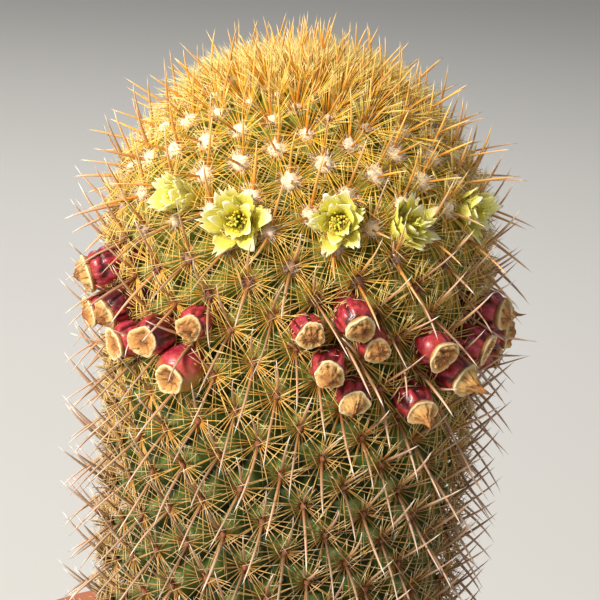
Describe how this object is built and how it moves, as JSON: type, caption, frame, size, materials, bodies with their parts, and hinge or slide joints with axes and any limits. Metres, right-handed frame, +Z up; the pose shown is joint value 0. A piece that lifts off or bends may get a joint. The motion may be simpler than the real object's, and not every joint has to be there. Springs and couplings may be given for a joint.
{
  "type": "potted cactus",
  "caption": "Short columnar cactus with spiral tubercles, golden spines, a ring of pale yellow flowers and a band of red berries, standing in a plain clay pot.",
  "frame": {"origin": "centre of the pot's underside", "axes": "+Z up along the stem; -Y towards the camera of the picture"},
  "size_m": [0.096, 0.096, 0.1908],
  "materials": {
    "clay": "matte unglazed terracotta",
    "soil": "dry gritty soil",
    "stem_skin": "dull green skin under golden spines",
    "petal": "thin soft petals",
    "berry_skin": "wrinkled satin skin with a dry brown cap"
  },
  "bodies": {
    "root": {"pot": "clay", "soil": "soil", "stem": "stem_skin", "flower_01": "petal", "flower_02": "petal", "flower_03": "petal", "flower_04": "petal", "flower_05": "petal", "flower_06": "petal", "flower_07": "petal", "flower_08": "petal", "flower_09": "petal", "berry_01": "berry_skin", "berry_02": "berry_skin", "berry_03": "berry_skin", "berry_04": "berry_skin", "berry_05": "berry_skin", "berry_06": "berry_skin", "berry_07": "berry_skin", "berry_08": "berry_skin", "berry_09": "berry_skin", "berry_10": "berry_skin", "berry_11": "berry_skin", "berry_12": "berry_skin", "berry_13": "berry_skin", "berry_14": "berry_skin", "berry_15": "berry_skin", "berry_16": "berry_skin", "berry_17": "berry_skin", "berry_18": "berry_skin", "berry_19": "berry_skin", "berry_20": "berry_skin", "berry_21": "berry_skin", "berry_22": "berry_skin", "berry_23": "berry_skin", "berry_24": "berry_skin", "berry_25": "berry_skin", "berry_26": "berry_skin", "berry_27": "berry_skin", "berry_28": "berry_skin", "berry_29": "berry_skin", "berry_30": "berry_skin", "berry_31": "berry_skin", "berry_32": "berry_skin", "berry_33": "berry_skin", "berry_34": "berry_skin"}
  },
  "joints": []
}
